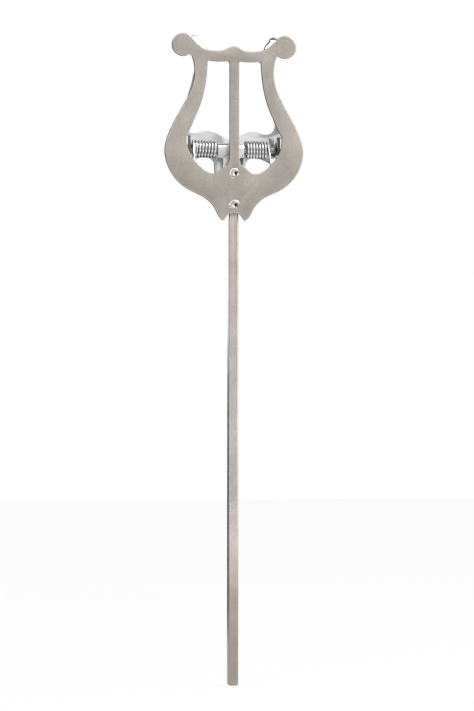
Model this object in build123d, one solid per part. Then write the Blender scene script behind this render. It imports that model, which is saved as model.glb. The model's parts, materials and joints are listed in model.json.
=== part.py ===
from build123d import *
from math import cos, hypot, radians, sin, tan
import os

# A sprung lyre clip that holds sheet music on a trumpet.
# Frame: +Z up the stem, X across the lyre, -Y towards the player who reads the music.
# The origin is the centre of the stem's lower end. All sizes are in millimetres.

# --- Driving dimensions -------------------------------------------------------
STEM_SIDE = 4.1           # square bar
STEM_TOP = 212.0
STEM_CORNER = 0.7         # rounding along the bar's corners
STEM_TIP_BEVEL = 0.6

PLATE_THICK = 1.5
PLATE_EDGE_ROLL = 0.42    # soft edge that the stamping leaves round the front face

BRACKET_THICK = 1.0
BRACKET_HALF_WIDTH = 5.45  # at the eye
BRACKET_STRIP_HALF = 3.3  # down the stem's back
BRACKET_NECK = 3.7        # how far the wide part goes down from the pin
BRACKET_SHIFT = -0.3      # riveted on a little to one side
BRACKET_FOOT = 192.6

PIN_R = 1.5
PIN_Z = 219.1
PIN_CLEARANCE = 0.05      # running fit in the bracket's eye
PIN_HEAD_R = 2.2
PIN_HEAD_THICK = 0.7

SPRING_WIRE = 1.1
SPRING_MEAN_R = 3.2
SPRING_TURNS = 7.45       # the front leg leaves leaning towards the plate
# Inboard end of each coil, across the lyre, and its pitch.
SPRING_SEATS = {"right_spring": (5.6, 1.22), "left_spring": (5.8, 1.27)}
SPRING_FRONT_LEG = 9.8    # rests on the back of the lyre plate
SPRING_BACK_LEG = 10.5    # rests on the jaw's thumb tongue

JAW_THICK = 1.1
JAW_SPRING_GAP = 0.2      # between the coils and the jaw's back plate
JAW_SIDE_PLAY = 0.4       # the jaw lies over to one side on its pin
EAR_ROOT = 16.3           # where the ears fold forward, from the jaw's centre
EAR_LOW = 215.6
EAR_HIGH = 224.7
EAR_SPLAY = 11.3          # degrees that each ear leans outwards
EAR_FRONT_GAP = 1.5       # from the plate's back to the ears' front edges
FINGER_WIDTH = 3.2
FINGER_TIP_R = 1.9
TIP_GAP = 0.1             # closed jaw to the back of the plate

RIVET_R = 1.0
RIVET_Z = {"upper_rivet": 208.5, "lower_rivet": 195.5}
RIVET_RING_R = 2.0
RIVET_RING_THICK = 0.45
RIVET_PIT_R = 0.75
RIVET_PIT_DEPTH = 1.4
RIVET_HEAD_R = 2.1
RIVET_HEAD_HEIGHT = 1.0
HOLE_CLEARANCE = 0.02

# --- Depths worked out from them ----------------------------------------------
STEM_BACK = STEM_SIDE / 2
PLATE_BACK = -STEM_SIDE / 2
PLATE_FRONT = PLATE_BACK - PLATE_THICK
BRACKET_BACK = STEM_BACK + BRACKET_THICK
EYE_R = PIN_R + PIN_CLEARANCE + BRACKET_THICK
PIN_Y = STEM_BACK + EYE_R
JAW_FRONT = PIN_Y + SPRING_MEAN_R + SPRING_WIRE / 2 + JAW_SPRING_GAP
JAW_BACK = JAW_FRONT + JAW_THICK
JAW_MID = JAW_FRONT + JAW_THICK / 2
EAR_FRONT = PLATE_BACK + EAR_FRONT_GAP


# --- Helpers ------------------------------------------------------------------
def front_sheet(outline, front, back):
    """Solid between two depths, from an outline drawn as the viewer sees it."""
    return extrude(Plane.XZ.offset(-back) * outline, amount=back - front)


def side_sheet(outline, half_width):
    """Solid that is symmetric across the lyre, from an outline drawn in side view."""
    return extrude(Plane.YZ * outline, amount=half_width, both=True)


def rod(start, end, radius):
    """Round bar between two points."""
    axis = Vector(*end) - Vector(*start)
    return extrude(Plane(origin=start, z_dir=axis) * Circle(radius), amount=axis.length)


def smooth(*points, tangents=None):
    """Smooth curve through points, with its end directions given as short vectors."""
    reach = sum(hypot(b[0] - a[0], b[1] - a[1]) for a, b in zip(points, points[1:]))
    if tangents is None:
        return Spline(*points)
    return Spline(*points, tangents=[Vector(*t).normalized() * reach for t in tangents])


def mirrored(edges):
    """The edges of a right half together with their mirror image across the centre."""
    return edges + [mirror(edge, about=Plane.YZ) for edge in edges]


# --- Lyre plate ---------------------------------------------------------------
BALL_CENTRE = (21.2, 260.6)
BALL_R = 4.65
UNDER_BALL_R = 0.6
TOE_R = 0.5
WINDOW_CORNER_R = 1.0
WINDOW_CUSP_R = 0.7


def ball_point(angle):
    """Point on the horn's ball."""
    turn = radians(angle)
    return (BALL_CENTRE[0] + BALL_R * cos(turn), BALL_CENTRE[1] + BALL_R * sin(turn))


def plate_outline():
    """Outer edge of the lyre, right half, from the notch over the stem up to the peak."""
    toe = (4.5, 189.1)
    body_points = [
        toe, (5.7, 190.0), (8.3, 194.4), (12.6, 198.5), (18.8, 201.5), (24.1, 205.7),
        (27.5, 211.2), (28.8, 217.6), (26.9, 225.0), (21.7, 235.0), (17.2, 244.6), (16.5, 251.2),
    ]
    notch = smooth((0, 192.2), (2.2, 191.8), toe, tangents=[(1, 0), (1, -0.9)])
    body = smooth(*body_points, ball_point(228))
    ball = ThreePointArc(ball_point(228), ball_point(0), ball_point(130))
    top_points = [ball_point(130), (15.9, 261.9), (12.4, 259.3), (8.3, 258.4), (4.0, 258.9)]
    top = smooth(*top_points, (0, 260.4), tangents=[(-1, -0.85), (-1, 0)])
    outline = make_face(mirrored([notch, body, ball, top]))
    under_balls = [v for v in outline.vertices() if 17 < abs(v.X) and v.Y < 258]
    outline = fillet(under_balls, UNDER_BALL_R)
    toes = [v for v in outline.vertices() if v.Y < 190]
    return fillet(toes, TOE_R)


def plate_window():
    """One of the two openings beside the centre bar."""
    cusp = (19.9, 224.0)
    bar = 1.95
    side = Line((bar, 216.2), (bar, 254.5))
    top = ThreePointArc((bar, 254.5), (6.6, 254.1), (11.1, 254.5))
    arm = smooth((11.1, 254.5), (11.6, 247.0), (13.9, 236.6), (17.4, 228.3), cusp,
                 tangents=[(0, -1), (1, -0.9)])
    belly = smooth(cusp, (19.3, 218.4), (15.9, 212.8), (11.6, 209.1), (8.1, 208.3), (4.4, 210.9),
                   (bar, 216.2), tangents=[(-0.1, -1), (0, 1)])
    window = make_face([side, top, arm, belly])
    window = fillet([v for v in window.vertices() if v.Y > 250], WINDOW_CORNER_R)
    return fillet([v for v in window.vertices() if abs(v.Y - cusp[1]) < 0.1], WINDOW_CUSP_R)


def lyre_plate():
    """Stamped plate with two windows, a soft outer edge in front, and two rivet holes."""
    blank = front_sheet(plate_outline(), PLATE_FRONT, PLATE_BACK)
    front_face = blank.faces().sort_by(Axis.Y)[0]
    blank = fillet(front_face.edges(), PLATE_EDGE_ROLL)
    window = front_sheet(plate_window(), PLATE_FRONT - 1, PLATE_BACK + 1)
    return blank - window - mirror(window, about=Plane.YZ) - rivet_holes()


# --- Stem and bracket ---------------------------------------------------------
def rivet_holes():
    """The clear holes that both rivets pass through."""
    radius = RIVET_R + HOLE_CLEARANCE
    return [rod((0, PLATE_FRONT - 1, z), (0, BRACKET_BACK + 1, z), radius) for z in RIVET_Z.values()]


def stem():
    """Square bar behind the plate, with rounded corners and a bevelled tip."""
    section = RectangleRounded(STEM_SIDE, STEM_SIDE, STEM_CORNER)
    bar = extrude(section, amount=STEM_TOP)
    tip_side = STEM_SIDE - 2 * STEM_TIP_BEVEL
    sharp_bar = Rectangle(STEM_SIDE, STEM_SIDE)
    tip = loft([Rectangle(tip_side, tip_side), Pos(0, 0, STEM_TIP_BEVEL) * sharp_bar])
    upper = extrude(Pos(0, 0, STEM_TIP_BEVEL) * sharp_bar, amount=STEM_TOP)
    return (bar & (tip + upper)) - rivet_holes()


def hinge_bracket():
    """Strip on the stem's back, rolled round the pin at its top."""
    foot = RectangleRounded(2 * BRACKET_STRIP_HALF, PIN_Z - BRACKET_FOOT, 2.4)
    foot = Pos(0, (PIN_Z + BRACKET_FOOT) / 2) * foot
    upper = Pos(0, PIN_Z - BRACKET_NECK / 2) * Rectangle(2 * BRACKET_HALF_WIDTH, BRACKET_NECK)
    outline = foot + upper
    necks = [v for v in outline.vertices() if abs(abs(v.X) - BRACKET_STRIP_HALF) < 0.01 and v.Y > 210]
    outline = fillet(necks, 1.0)
    strip = front_sheet(outline, STEM_BACK, BRACKET_BACK)
    eye = rod((-BRACKET_HALF_WIDTH, PIN_Y, PIN_Z), (BRACKET_HALF_WIDTH, PIN_Y, PIN_Z), EYE_R)
    bore = rod((-20, PIN_Y, PIN_Z), (20, PIN_Y, PIN_Z), PIN_R + PIN_CLEARANCE)
    seam = Pos(0, BRACKET_BACK + 0.35, PIN_Z - EYE_R + 0.4) * Box(40, 0.3, 1.6)
    bracket = Pos(BRACKET_SHIFT, 0, 0) * (strip + (eye - bore) - seam - bore)
    return bracket - rivet_holes()


# --- Pin, rivets --------------------------------------------------------------
def ear_inner(depth):
    """Distance from the jaw's centre to an ear's inner face, at a depth."""
    return EAR_ROOT + (JAW_FRONT - depth) * tan(radians(EAR_SPLAY))


def hinge_pin():
    """Pin across the jaw, peened over outside both ears."""
    ear_across = JAW_THICK / cos(radians(EAR_SPLAY))
    reach = ear_inner(PIN_Y - PIN_HEAD_R) + ear_across + 0.05
    left = JAW_SIDE_PLAY - reach
    right = JAW_SIDE_PLAY + reach
    pin = rod((left, PIN_Y, PIN_Z), (right, PIN_Y, PIN_Z), PIN_R)
    for inner, outer in ((left, left - PIN_HEAD_THICK), (right, right + PIN_HEAD_THICK)):
        head = rod((inner, PIN_Y, PIN_Z), (outer, PIN_Y, PIN_Z), PIN_HEAD_R)
        rim = head.edges().sort_by(Axis.X)[0 if outer < 0 else -1]
        pin += fillet(rim, 0.45)
    return pin


def rivet(height):
    """Tubular rivet: domed head behind, rolled ring with a pit in front."""
    shank = rod((0, PLATE_FRONT - RIVET_RING_THICK, height), (0, BRACKET_BACK, height), RIVET_R)
    ring = rod((0, PLATE_FRONT - RIVET_RING_THICK, height), (0, PLATE_FRONT, height), RIVET_RING_R)
    ring = fillet(ring.edges().sort_by(Axis.Y)[0], RIVET_RING_THICK * 0.9)
    cap_r = (RIVET_HEAD_R ** 2 + RIVET_HEAD_HEIGHT ** 2) / (2 * RIVET_HEAD_HEIGHT)
    cap_centre = BRACKET_BACK + RIVET_HEAD_HEIGHT - cap_r
    ball = Pos(0, cap_centre, height) * Sphere(cap_r)
    behind = Pos(0, BRACKET_BACK + 5, height) * Box(10, 10, 10)
    pit_end = PLATE_FRONT - RIVET_RING_THICK + RIVET_PIT_DEPTH
    pit = rod((0, PLATE_FRONT - 2, height), (0, pit_end, height), RIVET_PIT_R)
    return shank + ring + (ball & behind) - pit


# --- Springs ------------------------------------------------------------------
def torsion_spring(inner, pitch):
    """Right-hand spring: its front leg bears on the plate, its back leg on the jaw."""
    length = SPRING_TURNS * pitch
    start_x = inner + SPRING_WIRE / 2
    path = Helix(pitch, length, SPRING_MEAN_R)
    # The helix is laid along X, and starts at the back of the pin, going up.
    lay = Plane(origin=(start_x, PIN_Y, PIN_Z), x_dir=(0, 1, 0), z_dir=(1, 0, 0))
    path = lay * path
    wire_r = SPRING_WIRE / 2
    section = Plane(origin=path @ 0, z_dir=path % 0) * Circle(wire_r)
    coil = sweep(section, path=path, is_frenet=True)
    back_end = path @ 0 - (path % 0) * SPRING_BACK_LEG
    front_end = path @ 1 + (path % 1) * SPRING_FRONT_LEG
    back_leg = rod(tuple(back_end), tuple(path @ 0), wire_r)
    front_leg = rod(tuple(path @ 1), tuple(front_end), wire_r)
    return coil + back_leg + front_leg


# --- Jaw ----------------------------------------------------------------------
def jaw_front_view():
    """Back plate, thumb tongue and both fingers, as the viewer sees them."""
    fold = EAR_ROOT + 0.4
    root_in = (16.4, 226.1)
    root_up = (18.7, 230.2)
    hump = smooth((0, 223.6), (3.2, 224.7), (6.4, 226.2), (10.0, 226.9), (13.6, 226.1), root_in,
                  tangents=[(1, 0), (1, 0.3)])
    fillet_arc = ThreePointArc(root_in, (18.1, 227.7), root_up)
    shoulder = Polyline(root_up, (20.4, 230.2), (20.4, 224.7), (fold, 224.7), (fold, 214.1))
    tongue_side = (8.3, 202.4)
    neck = smooth((fold, 214.1), (12.4, 215.9), (8.6, 215.9), (6.8, 214.2), (6.5, 210.5),
                  (7.6, 205.6), tongue_side)
    tongue_end = ThreePointArc(tongue_side, (6.2, 197.7), (0, 195.8))
    plate = make_face(mirrored([hump, fillet_arc, shoulder, neck, tongue_end]))
    tip = (16.6, 263.2)
    line = FilletPolyline((20.5, 225.4), (19.8, 231.5), (16.9, 240.0), (15.3, 247.5),
                          (14.8, 251.5), (13.0, 259.0), tip,
                          radius=[14.0, 40.0, 30.0, 20.0, 5.0])
    finger = make_face(offset(line, FINGER_WIDTH / 2, side=Side.BOTH).edges())
    finger += Pos(*tip) * Circle(FINGER_TIP_R)
    return plate + finger + mirror(finger, about=Plane.YZ)


def jaw_side_band():
    """The bent sheet from the side: tongue, back plate, then the fingers' curve."""
    half = JAW_THICK / 2
    touch = PLATE_BACK + TIP_GAP + half
    points = [
        (JAW_MID + 2.3, 194.0), (JAW_MID, 209.5), (JAW_MID, 226.6), (JAW_MID - 2.5, 237.8),
        (JAW_MID - 5.1, 247.0), (touch - 0.75, 257.6), (touch + 2.6, 266.0),
    ]
    line = FilletPolyline(*points, radius=[12.0, 9.0, 20.0, 14.0, 6.9])
    return make_face(offset(line, half, side=Side.BOTH).edges())


def ear():
    """Right ear: folded forward from the back plate's side, leaning outwards."""
    across = JAW_THICK / cos(radians(EAR_SPLAY))
    front_x = ear_inner(EAR_FRONT)
    back_x = ear_inner(JAW_BACK)
    footprint = make_face(Polyline(
        (back_x, JAW_BACK), (front_x, EAR_FRONT), (front_x + across, EAR_FRONT),
        (back_x + across, JAW_BACK), close=True))
    height = EAR_HIGH - EAR_LOW
    blank = extrude(Pos(0, 0, EAR_LOW) * footprint, amount=height)
    corner = 3.0
    depth = JAW_BACK - EAR_FRONT
    outline = Pos((JAW_BACK + EAR_FRONT) / 2 + corner, (EAR_LOW + EAR_HIGH) / 2)
    outline *= RectangleRounded(depth + 2 * corner, height, corner)
    trimmed = blank & extrude(Plane.YZ * outline, amount=40)
    hole = rod((0, PIN_Y, PIN_Z), (40, PIN_Y, PIN_Z), PIN_R + HOLE_CLEARANCE)
    return trimmed - hole


def jaw():
    """One-piece stamped jaw, at its place on the pin."""
    flat = front_sheet(jaw_front_view(), -10, 40)
    sheet = flat & side_sheet(jaw_side_band(), 40)
    right_ear = ear()
    return Pos(JAW_SIDE_PLAY, 0, 0) * (sheet + right_ear + mirror(right_ear, about=Plane.YZ))


# --- Write one file per piece -------------------------------------------------
def main():
    pieces = {
        "lyre_plate": lyre_plate(),
        "stem": stem(),
        "hinge_bracket": hinge_bracket(),
        "hinge_pin": hinge_pin(),
        "jaw": jaw(),
        "right_spring": torsion_spring(*SPRING_SEATS["right_spring"]),
        "left_spring": mirror(torsion_spring(*SPRING_SEATS["left_spring"]), about=Plane.YZ),
    }
    for name, height in RIVET_Z.items():
        pieces[name] = rivet(height)
    os.makedirs("parts", exist_ok=True)
    for name, shape in pieces.items():
        export_step(shape, f"parts/{name}.step")
        print(f"{name}: {shape.volume:.2f} mm3, {len(shape.solids())} solid(s)")


main()
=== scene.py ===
# %% [markdown]
# # A sprung lyre clip, modelled around its construction frame
# The object is a small nickel-plated clip that holds sheet music on a trumpet. The construction
# model already has every piece at its true size, so this lesson works on how the metal looks:
# stamped edges, wound springs, clinched rivets, and two kinds of nickel plating.
# The frame is loaded first, because every place below is read from it.

# %% Load the frame
import json
from math import atan, atan2, cos, exp, pi, radians, sin

import bmesh
import bpy
from mathutils import Matrix, Vector


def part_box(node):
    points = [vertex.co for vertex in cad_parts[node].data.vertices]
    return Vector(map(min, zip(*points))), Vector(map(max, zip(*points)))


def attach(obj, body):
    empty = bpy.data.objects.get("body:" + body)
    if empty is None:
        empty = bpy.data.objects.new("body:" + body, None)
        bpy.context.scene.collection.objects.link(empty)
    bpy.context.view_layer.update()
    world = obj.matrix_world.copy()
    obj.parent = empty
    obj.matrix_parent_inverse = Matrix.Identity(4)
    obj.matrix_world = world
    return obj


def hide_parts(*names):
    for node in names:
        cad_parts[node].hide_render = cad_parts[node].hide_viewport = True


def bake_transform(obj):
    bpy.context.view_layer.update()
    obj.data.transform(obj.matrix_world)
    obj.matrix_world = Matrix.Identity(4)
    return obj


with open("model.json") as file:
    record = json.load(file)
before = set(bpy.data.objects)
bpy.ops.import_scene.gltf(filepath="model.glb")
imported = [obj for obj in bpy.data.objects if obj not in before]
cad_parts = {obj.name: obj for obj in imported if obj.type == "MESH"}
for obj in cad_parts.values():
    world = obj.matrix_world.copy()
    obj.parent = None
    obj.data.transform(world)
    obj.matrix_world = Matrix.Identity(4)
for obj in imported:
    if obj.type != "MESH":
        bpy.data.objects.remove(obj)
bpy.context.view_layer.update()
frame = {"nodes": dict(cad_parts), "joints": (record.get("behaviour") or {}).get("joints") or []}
MM = 0.001
print("frame nodes:", sorted(frame["nodes"]))

# %% [markdown]
# ## Places that the pieces share
# The plate's two faces come from its box in the frame, and the hinge's place from its joint, in
# metres. Sizes that a box can't show, such as the spring wire's, are named where they are used.

# %% Measure the frame
plate_low, plate_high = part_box("lyre_plate")
hinge = Vector(frame["joints"][0]["pos_m"])
plate_front = plate_low.y
plate_back = plate_high.y
print("plate", round((plate_back - plate_front) / MM, 2), "mm thick, hinge at", hinge)

# %% [markdown]
# ## The camera
# A long lens a metre away keeps the long stem free of perspective. The camera stands a little to
# the left, so that the left sides of the plate and the stem show their thickness.

# %% Place the camera
CAMERA_AZIMUTH = radians(-10.9)
CAMERA_ELEVATION = radians(-1.7)
CAMERA_DISTANCE = 1.05
CAMERA_ROLL = radians(0.04)
LENS_MM = 130.3
LENS_SHIFT = (0.0059, 0.0055)
NEAREST_SEEN = 0.01
aim = Vector((0, 0, plate_high.z / 2))


def looking_from(azimuth, elevation, distance, target):
    """Place and turn of something that looks at a target from a direction."""
    away = Vector((sin(azimuth) * cos(elevation), -cos(azimuth) * cos(elevation), sin(elevation)))
    turn = (-away).to_track_quat("-Z", "Y").to_matrix().to_4x4()
    return Matrix.Translation(target + away * distance) @ turn


camera_data = bpy.data.cameras.new("camera")
camera_data.lens = LENS_MM
camera_data.clip_start = NEAREST_SEEN
camera_data.shift_x, camera_data.shift_y = LENS_SHIFT
camera = bpy.data.objects.new("camera", camera_data)
camera.matrix_world = looking_from(CAMERA_AZIMUTH, CAMERA_ELEVATION, CAMERA_DISTANCE, aim)
camera.matrix_world = camera.matrix_world @ Matrix.Rotation(CAMERA_ROLL, 4, "Z")
bpy.context.scene.collection.objects.link(camera)
bpy.context.scene.camera = camera
bpy.context.scene.view_settings.view_transform = "Standard"
print("camera", round(CAMERA_DISTANCE, 2), "m away")


# %% [markdown]
# ## Writing materials as arithmetic
# A procedural finish is mostly sums and products of a few patterns. `Value` wraps a node's output
# and overloads the operators, so `1 - mask` makes a Math node by itself. `Finish` holds one
# material, and its `node` method makes any other node: the type, its settings, then its inputs.

# %% Shader helpers
# a Mix node has sockets for every kind of value, and these are its first and its colour ones
MIX_FACTOR, MIX_FIRST, MIX_SECOND, MIX_RESULT = 0, 6, 7, 2


class Value:
    """One output of a shader node, with arithmetic that adds Math nodes."""

    def __init__(self, finish, socket):
        self.finish = finish
        self.socket = socket

    def math(self, operation, first, second):
        return self.finish.node("ShaderNodeMath", {"operation": operation}, {0: first, 1: second})

    def __add__(self, other):
        return self.math("ADD", self, other)

    def __sub__(self, other):
        return self.math("SUBTRACT", self, other)

    def __mul__(self, other):
        return self.math("MULTIPLY", self, other)

    def __rsub__(self, other):
        return self.math("SUBTRACT", other, self)


class Finish:
    """A material with one Principled shader."""

    def __init__(self, name, **constants):
        self.material = bpy.data.materials.new(name)
        self.material.use_nodes = True
        self.tree = self.material.node_tree
        self.shader = self.tree.nodes["Principled BSDF"]
        self.place = self.node("ShaderNodeTexCoord", out="Object")
        for socket, value in constants.items():
            self.shader.inputs[socket.replace("_", " ")].default_value = value

    def node(self, kind, settings=None, inputs=None, out=0):
        made = self.tree.nodes.new(kind)
        for name, value in (settings or {}).items():
            setattr(made, name, value)
        for socket, value in (inputs or {}).items():
            self.feed(made.inputs[socket], value)
        return Value(self, made.outputs[out])

    def feed(self, socket, value):
        if isinstance(value, Value):
            self.tree.links.new(value.socket, socket)
        else:
            socket.default_value = value

    def grain(self, size, detail=2.0, rough=0.5):
        """Noise whose lumps are about `size` metres across, from 0 to 1."""
        inputs = {"Vector": self.place, "Scale": 1 / size, "Detail": detail, "Roughness": rough}
        return self.node("ShaderNodeTexNoise", None, inputs, out="Fac")

    def mask(self, factor, low, high):
        """0 at `low`, 1 at `high`, straight between, and flat past both. `low` may be the larger."""
        ends = {"Value": factor, "From Min": low, "From Max": high}
        return self.node("ShaderNodeMapRange", {"clamp": True}, ends, out="Result")

    def mix(self, factor, first, second):
        """Colour between two colours."""
        colours = {MIX_FACTOR: factor, MIX_FIRST: first, MIX_SECOND: second}
        return self.node("ShaderNodeMix", {"data_type": "RGBA"}, colours, out=MIX_RESULT)

    def relief(self, height, distance):
        """Feed a height from 0 to 1, over `distance` metres, to the shader's normal."""
        bump = self.node("ShaderNodeBump", None,
                         {"Height": height, "Distance": distance, "Strength": 1.0}, out="Normal")
        self.feed(self.shader.inputs["Normal"], bump)

    def set(self, **links):
        for socket, value in links.items():
            self.feed(self.shader.inputs[socket.replace("_", " ")], value)


print("shader helpers ready")

# %% [markdown]
# ## A plain pale studio
# The floor and the world are white to the eye and in the metal's reflections, so that the object
# stands free on white. Polished metal in an all-white room has no shape, so a studio puts
# dark and bright cards round it. These cards are seen in reflections only: dark ones draw the
# left-hand edges, and bright ones put a clean line on every edge that faces up or right. The
# ones behind keep the jaw's back from turning a flat white.

# %% Floor, world and cards
FLOOR_SIZE = 6.0
FLOOR_GLOW = 0.86
WHITE = (1.0, 1.0, 1.0, 1.0)
FLOOR_GREY = (0.9, 0.9, 0.9, 1.0)
ROOM_LIGHT = 0.75
ROOM_SEEN = 1.0


def stage_sheet(name, matrix, width, height, material):
    """Flat sheet that belongs to the studio."""
    bm = bmesh.new()
    bmesh.ops.create_grid(bm, x_segments=1, y_segments=1, size=0.5)
    bmesh.ops.scale(bm, vec=(width, height, 1), verts=bm.verts)
    mesh = bpy.data.meshes.new(name)
    bm.to_mesh(mesh)
    bm.free()
    sheet = bpy.data.objects.new(name, mesh)
    sheet.matrix_world = matrix
    mesh.materials.append(material)
    bpy.context.scene.collection.objects.link(sheet)
    return sheet


def background_paint(name, own_colour, shown):
    """White to the eye and to reflections by a share, and a lit surface for the rest."""
    finish = Finish(name, Roughness=0.9, Base_Color=own_colour)
    seen = finish.node("ShaderNodeLightPath", out="Is Camera Ray")
    path = seen.socket.node
    seen = finish.node("ShaderNodeMath", {"operation": "MAXIMUM"},
                       {0: seen, 1: Value(finish, path.outputs["Is Glossy Ray"])})
    seen = finish.node("ShaderNodeMath", {"operation": "MAXIMUM"},
                       {0: seen, 1: Value(finish, path.outputs["Is Transmission Ray"])})
    glow = finish.node("ShaderNodeEmission", None, {"Color": WHITE, "Strength": 1.0})
    both = finish.node("ShaderNodeMixShader", None, {0: seen * shown, 2: glow})
    tree = finish.tree
    tree.links.new(finish.shader.outputs[0], both.socket.node.inputs[1])
    tree.links.new(both.socket, tree.nodes["Material Output"].inputs["Surface"])
    return finish.material


def card_paint(name, level):
    """Card of an even grey, which lights nothing else."""
    finish = Finish(name, Roughness=0.9)
    glow = finish.node("ShaderNodeEmission", None, {"Color": (level, level, level, 1)})
    finish.tree.links.new(glow.socket, finish.tree.nodes["Material Output"].inputs["Surface"])
    return finish.material


def card(name, azimuth, elevation, distance, width, height, level, target):
    """Card beside the object that only reflections see."""
    made = stage_sheet(name, looking_from(azimuth, elevation, distance, target),
                       width, height, card_paint(name, level))
    made.visible_camera = False
    made.visible_diffuse = False
    made.visible_shadow = False
    made.visible_transmission = False
    return made


floor_paint = background_paint("floor_paint", FLOOR_GREY, FLOOR_GLOW)
stage_sheet("floor", Matrix.Identity(4), FLOOR_SIZE, FLOOR_SIZE, floor_paint)
head = Vector((0, 0, hinge.z))
# name, azimuth and elevation in degrees from the head, distance, width, height, level of grey
CARDS = (
    ("front_card", 9, 0, 1.6, 1.5, 1.5, 0.80),
    ("left_flag", -92, 0, 0.9, 1.25, 1.5, 0.03),
    ("back_left_card", -168, 13, 1.7, 0.6, 0.9, 2.2),
    ("back_left_low_flag", -168, -14, 0.6, 0.5, 0.22, 0.02),
    ("foot_flag", -168, -38, 0.26, 0.3, 0.14, 0.02),
    ("right_card", 74, 12, 1.0, 0.5, 0.9, 2.6),
    ("high_card", 8, 55, 1.0, 0.9, 0.35, 2.4),
    ("ceiling_flag", 0, 90, 0.8, 0.7, 0.5, 0.05),
    ("horizon_flag", 5, -11, 0.9, 0.8, 0.14, 0.03),
    ("low_card", 5, -38, 0.34, 0.5, 0.10, 1.9),
    ("behind_card", 140, 4, 1.4, 1.5, 1.2, 0.42),
    ("behind_flag", 172, 38, 1.2, 0.9, 0.35, 0.10),
    ("behind_low_flag", 165, -24, 0.46, 0.6, 0.11, 0.20),
)
for name, azimuth, elevation, distance, width, height, level in CARDS:
    card(name, radians(azimuth), radians(elevation), distance, width, height, level, head)

world = bpy.data.worlds.new("white_room")
bpy.context.scene.world = world
world.use_nodes = True
room = world.node_tree
path = room.nodes.new("ShaderNodeLightPath")
strength = room.nodes.new("ShaderNodeMapRange")
strength.inputs["To Min"].default_value = ROOM_LIGHT
strength.inputs["To Max"].default_value = ROOM_SEEN
shown = room.nodes.new("ShaderNodeMath")
shown.operation = "MAXIMUM"
room.links.new(path.outputs["Is Camera Ray"], shown.inputs[0])
room.links.new(path.outputs["Is Glossy Ray"], shown.inputs[1])
room.links.new(shown.outputs[0], strength.inputs["Value"])
room.links.new(strength.outputs[0], room.nodes["Background"].inputs["Strength"])
room.nodes["Background"].inputs["Color"].default_value = WHITE
print("studio: floor, white world and", len(CARDS), "cards")


# %% [markdown]
# ## Soft light
# One large lamp stands high on the right, as the bright upper and right edges of the plate ask
# for, and a weaker one fills from the left.

# %% Lamps
def lamp(name, azimuth, elevation, distance, size, watts, colour=(1, 1, 1)):
    """Square soft lamp that faces the object's head."""
    data = bpy.data.lights.new(name, "AREA")
    data.shape = "SQUARE"
    data.size = size
    data.energy = watts
    data.color = colour
    made = bpy.data.objects.new(name, data)
    made.matrix_world = looking_from(azimuth, elevation, distance, head)
    bpy.context.scene.collection.objects.link(made)
    return made


lamp("key_lamp", radians(58), radians(42), 1.3, 0.6, 9.0, (1.0, 0.985, 0.96))
lamp("fill_lamp", radians(-40), radians(25), 1.6, 0.8, 2.5, (0.95, 0.98, 1.0))
print("lamps: key and fill")

# %% [markdown]
# ## Satin nickel, for the plate and the stem
# The plate was stamped from sheet, tumbled and nickel plated, so it is a warm grey with a soft
# gloss. Close up it has a fine grain, faint cloudiness and a few small nicks, each with a painted
# glint. The stem is drawn bar with the same plating. It is paler in its middle and darker towards
# its lower end. The plate's sheared walls that face left or right get a painted shade, and are dull.

# %% Satin nickel
NICKEL_WARM = (0.575, 0.525, 0.470, 1)
NICKEL_DULL = (0.44, 0.402, 0.358, 1)
NICKEL_PALE = (0.74, 0.70, 0.66, 1)
NICKEL_PALE_DULL = (0.60, 0.57, 0.54, 1)
NICKEL_GLINT = (0.95, 0.93, 0.90, 1)
NICKEL_LOWER_END = (0.33, 0.295, 0.255, 1)
NICKEL_PAINTED_SHADE = (0.10, 0.10, 0.105, 1)
CLOUD_SIZE = 12 * MM
SPECKLE_SIZE = 0.9 * MM
GRAIN_SIZE = 0.5 * MM
NICK_SPACING = 3.4 * MM
WANDER = 0.03
# heights on the stem where each tone starts and is full, with half of the wander added
PALE_ABOVE = (0.06, 0.12)
PALE_BELOW = (0.20, 0.12)
LOWER_END_BELOW = (0.074, 0.050)
RELIEF_DEPTH = 0.06 * MM


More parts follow.
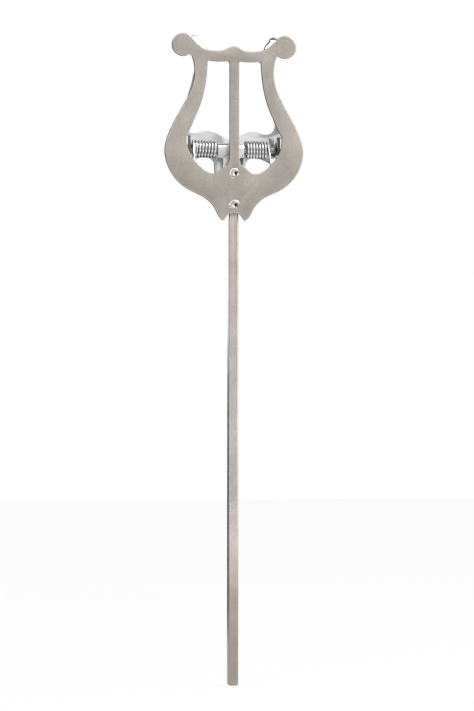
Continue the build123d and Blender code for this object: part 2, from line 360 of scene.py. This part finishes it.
def satin_nickel(name, along_stem):
    """Plated steel with a soft gloss."""
    finish = Finish(name, Metallic=1.0)
    clouds = finish.grain(CLOUD_SIZE, detail=3)
    fine = finish.grain(GRAIN_SIZE)
    speckle = finish.grain(SPECKLE_SIZE, detail=3, rough=0.7)
    tone = finish.mask(clouds * 0.5 + speckle * 0.5, 0.38, 0.62)
    colour = finish.mix(tone, NICKEL_DULL, NICKEL_WARM)
    if along_stem:
        height = finish.node("ShaderNodeSeparateXYZ", None, {0: finish.place}, out="Z")
        height = height + finish.grain(0.05) * WANDER
        pale = finish.mask(height, *PALE_BELOW) * finish.mask(height, *PALE_ABOVE)
        pale_tone = finish.mix(tone, NICKEL_PALE_DULL, NICKEL_PALE)
        colour = finish.mix(pale * 0.85, colour, pale_tone)
        # the stem is made darker towards its lower end
        lower_end = finish.mask(height, *LOWER_END_BELOW) * (1 - tone * 0.25)
        colour = finish.mix(lower_end, colour, NICKEL_LOWER_END)
    # painted shade on the plate's sheared walls that face left or right, which are also duller
    painted_shade = finish.node("ShaderNodeAttribute", {"attribute_name": "painted_shade"}, out="Fac")
    colour = finish.mix(painted_shade, colour, NICKEL_PAINTED_SHADE)
    cells = finish.node("ShaderNodeTexVoronoi", {"feature": "F1"},
                        {"Vector": finish.place, "Scale": 1 / NICK_SPACING}, out="Distance")
    chosen = finish.mask(finish.grain(0.006, detail=1), 0.54, 0.60)
    dent_and_glint = finish.mask(cells, 0.10, 0.045) * chosen
    # painted glint: each nick is lightened almost to white, on top of its small dent
    colour = finish.mix(dent_and_glint * (0.9 if along_stem else 0.35), colour, NICKEL_GLINT)
    gloss = clouds * 0.12 + fine * 0.08 + 0.24
    finish.set(Base_Color=colour, Roughness=gloss + painted_shade * 0.40)
    waves = finish.grain(0.004, detail=1)
    tumbled = finish.grain(0.0013)
    finish.relief(waves * 0.55 + tumbled * 0.30 + fine * 0.12 - dent_and_glint * 0.5, RELIEF_DEPTH)
    return finish.material


plate_nickel = satin_nickel("plate_nickel", along_stem=False)
stem_nickel = satin_nickel("stem_nickel", along_stem=True)
print("satin nickel for plate and stem")

# %% [markdown]
# ## Bright nickel, for the jaw and the small parts
# These are polished before plating, so they mirror the room. A slow ripple in the surface breaks
# the mirror up, the way thin pressed sheet does. Some faces get a painted shade, almost black:
# the pits of the rivets, the gaps between coils, and edges of the ears and a fingertip.

# %% Bright nickel
BRIGHT = (0.83, 0.85, 0.865, 1)
BRIGHT_SHADE = (0.80, 0.785, 0.77, 1)
WIRE = (0.78, 0.79, 0.80, 1)
WIRE_SHADE = (0.60, 0.60, 0.60, 1)
PIN = (0.40, 0.40, 0.41, 1)
PIN_SHADE = (0.28, 0.28, 0.28, 1)
# the rolled lips of the rivets
LIP = (0.70, 0.66, 0.61, 1)
LIP_SHADE = (0.44, 0.40, 0.36, 1)
# near-black painted shade for rivet pits, gaps between coils and some jaw edges
DARK_PAINTED_SHADE = (0.16, 0.15, 0.14, 1)


def bright_nickel(name, light, shade, gloss, ripple, patch=0.006):
    """Mirror-like plating over pressed sheet or wire, in patches `patch` metres across."""
    finish = Finish(name, Metallic=1.0)
    clouds = finish.grain(patch, detail=3)
    fine = finish.grain(0.0006)
    # painted shade on the faces noted in the mesh, darkened almost to black and made duller
    painted_shade = finish.node("ShaderNodeAttribute", {"attribute_name": "painted_shade"}, out="Fac")
    colour = finish.mix(finish.mask(clouds, 0.35, 0.7), light, shade)
    finish.set(Base_Color=finish.mix(painted_shade, colour, DARK_PAINTED_SHADE),
               Roughness=clouds * 0.08 + fine * 0.05 + painted_shade * 0.3 + gloss)
    finish.relief(finish.grain(0.0035, detail=1) * ripple + fine * 0.06, RELIEF_DEPTH)
    return finish.material


sheet_nickel = bright_nickel("sheet_nickel", BRIGHT, BRIGHT_SHADE, 0.22, 0.7)
wire_nickel = bright_nickel("wire_nickel", WIRE, WIRE_SHADE, 0.08, 0.3)
pin_nickel = bright_nickel("pin_nickel", PIN, PIN_SHADE, 0.25, 0.2)
rivet_nickel = bright_nickel("rivet_nickel", LIP, LIP_SHADE, 0.22, 0.6, 0.0012)
print("bright nickel for sheet and wire")


# %% [markdown]
# ## Turning a mesh into a piece
# Every piece ends the same way: it gets its finish, rides on its body when it has one, and gets
# smooth shading with sharp corners kept by angle.

# %% Piece helpers
SHARP = radians(32)
CORNER = radians(40)


def piece(bm, name, body, material, replaced):
    """Finish a bmesh as a named piece that stands for CAD nodes."""
    for face in bm.faces:
        face.smooth = True
    for edge in bm.edges:
        edge.smooth = not edge.is_manifold or edge.calc_face_angle(0) < SHARP
    mesh = bpy.data.meshes.new(name)
    bm.to_mesh(mesh)
    bm.free()
    made = bpy.data.objects.new(name, mesh)
    mesh.materials.append(material)
    bpy.context.scene.collection.objects.link(made)
    if body:
        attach(made, body)
    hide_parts(*replaced)
    triangles = sum(len(face.vertices) - 2 for face in mesh.polygons)
    print(f"{name}: {triangles} triangles, {len(mesh.vertices)} points")
    return made


def mark_faces(bm, test):
    """Note how much painted shade each face gets, from 0 to 1, for the finish to darken and dull."""
    layer = bm.loops.layers.float.new("painted_shade")
    for face in bm.faces:
        for loop in face.loops:
            loop[layer] = float(test(face))


def merged_copy(node):
    """Copy of a CAD node's mesh, joined up and with its flat triangles merged."""
    bm = bmesh.new()
    bm.from_mesh(frame["nodes"][node].data)
    bmesh.ops.remove_doubles(bm, verts=bm.verts, dist=0.002 * MM)
    bmesh.ops.dissolve_limit(bm, angle_limit=radians(0.2), verts=bm.verts, edges=bm.edges,
                             use_dissolve_boundaries=False, delimit=set())
    return bm


def soften(bm, edges, width, segments=2):
    """Round chosen edges."""
    bmesh.ops.bevel(bm, geom=edges, offset=width, offset_type="OFFSET", segments=segments,
                    profile=0.5, affect="EDGES", clamp_overlap=True, material=-1)


def sharp_edges(bm, angle, test=lambda edge: True):
    """Edges whose faces meet at more than an angle."""
    return [e for e in bm.edges if e.is_manifold and e.calc_face_angle(0) > angle and test(e)]


# %% [markdown]
# ## The lyre plate
# A press tool pulls the front edges down as it cuts, and leaves the back ones nearly sharp. The
# copy of the construction mesh gets that soft edge round its windows and a tiny one behind.

# %% Lyre plate
DIE_ROLL = 0.42 * MM
BURR = 0.06 * MM
# least x and greatest y of the normals of the sheared walls that get a painted shade
SHADED_WALL_X = 0.5
SHADED_WALL_Y = 0.4


def lies_at(edge, depth):
    """Both ends of an edge lie in the plane of a face."""
    return all(abs(v.co.y - depth) < 0.01 * MM for v in edge.verts)


plate_bm = merged_copy("lyre_plate")
front = sharp_edges(plate_bm, CORNER, lambda e: lies_at(e, plate_front))
soften(plate_bm, front, DIE_ROLL, segments=4)
back = sharp_edges(plate_bm, CORNER, lambda e: lies_at(e, plate_back))
soften(plate_bm, back, BURR, segments=1)
# sheared walls that face left or right get a painted shade; those facing up or down stay bright
mark_faces(plate_bm, lambda face: (abs(face.normal.y) < SHADED_WALL_Y
                                   and abs(face.normal.x) > SHADED_WALL_X))
piece(plate_bm, "stamped_plate", "lyre", plate_nickel, ["lyre_plate"])

# %% [markdown]
# ## The stem
# A plain square bar. Its lower end was sawn and filed, so it has a wider bevel than the long
# edges, which are only broken.

# %% Stem
SAWN_EDGE = 0.55 * MM
BROKEN_EDGE = 0.1 * MM

stem_bm = merged_copy("stem")
sawn = sharp_edges(stem_bm, radians(30), lambda e: all(v.co.z < 0.01 * MM for v in e.verts))
soften(stem_bm, sawn, SAWN_EDGE, segments=1)
soften(stem_bm, sharp_edges(stem_bm, radians(30)), BROKEN_EDGE)
piece(stem_bm, "square_stem", "lyre", stem_nickel, ["stem"])

# %% [markdown]
# ## Jaw, bracket and pin
# These are pressed from thin bright sheet. Their cut edges are barely rounded, but that thin
# highlight is what shows that they are metal and not card. The ears' front edges get a painted
# shade, and so do the rim and the end of the right fingertip. A straight cut across both
# fingertips gives that painted shade an edge to stop at.

# %% Pressed parts
EAR_TOP = hinge.z + 6.0 * MM
EAR_EDGE_DEPTH = plate_back + 2.5 * MM
TIP_START = hinge.z + 40.5 * MM
TIP_END = hinge.z + 44.7 * MM
TIP_RIM = 0.7 * MM


def jaw_painted_shade(face):
    """Painted shade on the ears' sheared front edges, and on the rim and end of the right fingertip.
    """
    middle = face.calc_center_median()
    if middle.z > TIP_START:
        return middle.x > 0 and (middle.z > TIP_END or -0.85 < face.normal.y < 0.5)
    return face.normal.y < -0.6 and middle.y < EAR_EDGE_DEPTH and middle.z < EAR_TOP


def is_tip_rim(edge):
    """Front outline of a curled fingertip."""
    front = any(face.normal.y < -0.85 for face in edge.link_faces)
    return front and all(v.co.z > TIP_START for v in edge.verts)


jaw_bm = merged_copy("jaw")
soften(jaw_bm, sharp_edges(jaw_bm, CORNER, is_tip_rim), TIP_RIM, segments=3)
soften(jaw_bm, sharp_edges(jaw_bm, CORNER), 0.14 * MM)
everything = jaw_bm.verts[:] + jaw_bm.edges[:] + jaw_bm.faces[:]
bmesh.ops.bisect_plane(jaw_bm, geom=everything, plane_co=(0, 0, TIP_END), plane_no=(0, 0, 1))
# the ears' front edges and the right fingertip's rim and end get a painted shade
mark_faces(jaw_bm, jaw_painted_shade)
piece(jaw_bm, "pressed_jaw", "jaw", sheet_nickel, ["jaw"])

for node, body, width, material in (("hinge_bracket", "lyre", 0.10 * MM, sheet_nickel),
                                    ("hinge_pin", "jaw", 0.05 * MM, pin_nickel)):
    part_bm = merged_copy(node)
    soften(part_bm, sharp_edges(part_bm, CORNER), width)
    piece(part_bm, f"pressed_{node}", body, material, [node])

# %% [markdown]
# ## The springs
# A torsion spring is one wire: a straight leg, a close coil, another leg. A ring of points spun
# round the hinge with a step along it makes the coil, and the two end rings are pulled out
# straight to make the legs. When the jaw opens, one leg goes with it and the other stays. Here
# each coil rides on neither body, and its place is baked into its points.

# %% Wind the springs
WIRE_R = 0.55 * MM
COIL_R = 3.2 * MM
COIL_TURNS = 7.45
FRONT_LEG = 9.8 * MM
BACK_LEG = 10.5 * MM
# side: name, inner end of the coil and pitch
SPRINGS = {1: ("right", 6.15 * MM, 1.22 * MM), -1: ("left", 6.35 * MM, 1.27 * MM)}
STEPS_PER_TURN = 40
RING_POINTS = 14
TIP_LENGTH = 0.15 * MM
TIP_SHRINK = 0.8
COIL_FLANK = 0.72


def pull_leg(bm, ring, along, length):
    """Pull an end ring out into a straight leg with a softened tip."""
    edges = [e for e in bm.edges if e.is_boundary and all(v in ring for v in e.verts)]
    out = bmesh.ops.extrude_edge_only(bm, edges=edges)
    tip = [v for v in out["geom"] if isinstance(v, bmesh.types.BMVert)]
    bmesh.ops.translate(bm, vec=along * (length - TIP_LENGTH), verts=tip)
    edges = [e for e in bm.edges if e.is_boundary and all(v in tip for v in e.verts)]
    out = bmesh.ops.extrude_edge_only(bm, edges=edges)
    end = [v for v in out["geom"] if isinstance(v, bmesh.types.BMVert)]
    middle = sum((v.co for v in end), Vector()) / len(end)
    bmesh.ops.translate(bm, vec=along * TIP_LENGTH, verts=end)
    bmesh.ops.scale(bm, vec=(TIP_SHRINK,) * 3, space=Matrix.Translation(-middle), verts=end)
    rim = [e for e in bm.edges if e.is_boundary and e.verts[0] in end]
    bmesh.ops.contextual_create(bm, geom=rim)


def wind_spring(side, seat, pitch):
    """Spring on one side of the bracket: side is 1 on the right and -1 on the left."""
    bm = bmesh.new()
    lean = atan(pitch / (2 * pi * COIL_R))
    ring = bmesh.ops.create_circle(bm, segments=RING_POINTS, radius=WIRE_R)["verts"]
    bmesh.ops.rotate(bm, verts=ring, matrix=Matrix.Rotation(side * lean, 3, "Y"))
    start = Vector((side * seat, hinge.y + COIL_R, hinge.z))
    bmesh.ops.translate(bm, vec=start, verts=ring)
    steps = round(COIL_TURNS * STEPS_PER_TURN)
    advance = side * pitch * COIL_TURNS / steps
    turned = bmesh.ops.spin(bm, geom=list(ring) + bm.edges[:], cent=hinge, axis=(1, 0, 0),
                            dvec=(advance, 0, 0), angle=2 * pi * COIL_TURNS, steps=steps,
                            use_merge=False, use_normal_flip=False, use_duplicate=False)
    last = [v for v in turned["geom_last"] if isinstance(v, bmesh.types.BMVert)]
    end_turn = 2 * pi * COIL_TURNS
    begin_along = Vector((side * sin(lean), 0, cos(lean)))
    end_along = Vector((side * sin(lean), -sin(end_turn) * cos(lean), cos(end_turn) * cos(lean)))
    pull_leg(bm, set(ring), -begin_along, BACK_LEG)
    pull_leg(bm, set(last), end_along, FRONT_LEG)
    bmesh.ops.recalc_face_normals(bm, faces=bm.faces)
    # painted shade: the coil's flanks, which face the next turn, darken the gaps between turns
    mark_faces(bm, lambda face: abs(face.normal.x) > COIL_FLANK)
    return bm


for side, (name, seat, pitch) in SPRINGS.items():
    spring = piece(wind_spring(side, seat, pitch), f"{name}_coil", None,
                   wire_nickel, [f"{name}_spring"])
    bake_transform(spring)

# %% [markdown]
# ## The rivets
# Each rivet is a tube whose front end was rolled over by a punch, so it shows a lip with a deep
# hole, never quite round. The back has the plain domed head.

# %% Rivets
RIVET_PROFILE = (
    # radius and depth, from the bottom of the pit over the lip and along the shank to the dome
    (0.0, -2.60), (0.46, -2.62), (0.60, -2.78), (0.64, -3.20), (0.72, -3.62), (0.92, -3.88),
    (1.20, -4.00), (1.50, -3.97), (1.78, -3.84), (1.98, -3.68), (2.02, -3.56), (1.00, -3.53),
    (1.00, 3.05), (2.05, 3.05), (2.10, 3.16), (1.90, 3.42), (1.50, 3.72), (1.00, 3.93),
    (0.50, 4.02), (0.0, 4.05),
)
LIP_DEPTH = -3.3 * MM
PIT_DEPTH = -2.5 * MM
PIT_RADIUS = 0.79 * MM
PIT_SHIFT = 0.50 * MM
LIP_INNER = 0.75 * MM
LIP_WIDTH = 0.5 * MM
SPLIT_SECTOR = 0.86
RIVET_STEPS = 40


def crush_lip(bm, centre, turn):
    """Roll the lip over unevenly, with a split on one side and the pit pushed off centre."""
    for vert in bm.verts:
        if vert.co.y > LIP_DEPTH:
            continue
        out = Vector((vert.co.x - centre.x, vert.co.z - centre.z))
        around = atan2(out.y, out.x) - turn
        uneven = 0.13 * sin(2 * around + 0.8) + 0.09 * sin(3 * around + 2.1)
        split = exp(-((cos(around) - 1) / 0.30) ** 2)
        lip = min(1.0, max(0.0, (out.length - LIP_INNER) / LIP_WIDTH))
        spread = 1 + lip * (uneven + 0.10 - 0.26 * split)
        vert.co.x = centre.x + out.x * spread + PIT_SHIFT * (1 - lip * 0.85)
        vert.co.z = centre.z + out.y * spread
        if lip > 0:
            swell = max(0.15, 1 + 0.30 * sin(around + 2.4) - 0.75 * split)
            rise = min(0.0, vert.co.y - plate_front)
            vert.co.y = plate_front + rise * swell


def rivet_painted_shade(face, centre, turn):
    """Painted shade: black in the pit, partly dark and dull where the lip split, and none elsewhere.
    """
    middle = face.calc_center_median()
    out = middle - centre
    if middle.y > PIT_DEPTH:
        return 0.0
    if Vector(out.xz).length < PIT_RADIUS:
        return 1.0
    return 0.6 if cos(atan2(out.z, out.x) - turn) > SPLIT_SECTOR else 0.0


for node, turn in (("upper_rivet", radians(15)), ("lower_rivet", radians(-25))):
    low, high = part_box(node)
    centre = (low + high) / 2
    rivet_bm = bmesh.new()
    line = [rivet_bm.verts.new((centre.x + radius * MM, depth * MM, centre.z))
            for radius, depth in RIVET_PROFILE]
    for first, second in zip(line, line[1:]):
        rivet_bm.edges.new((first, second))
    bmesh.ops.spin(rivet_bm, geom=rivet_bm.verts[:] + rivet_bm.edges[:], cent=centre,
                   axis=(0, 1, 0), angle=2 * pi, steps=RIVET_STEPS, use_merge=True)
    bmesh.ops.remove_doubles(rivet_bm, verts=rivet_bm.verts, dist=0.001 * MM)
    bmesh.ops.recalc_face_normals(rivet_bm, faces=rivet_bm.faces)
    # painted shade in each rivet's pit and in the split of its lip
    mark_faces(rivet_bm, lambda face: rivet_painted_shade(face, centre, turn))
    crush_lip(rivet_bm, centre, turn)
    bmesh.ops.recalc_face_normals(rivet_bm, faces=rivet_bm.faces)
    piece(rivet_bm, f"clinched_{node}", "lyre", rivet_nickel, [node])
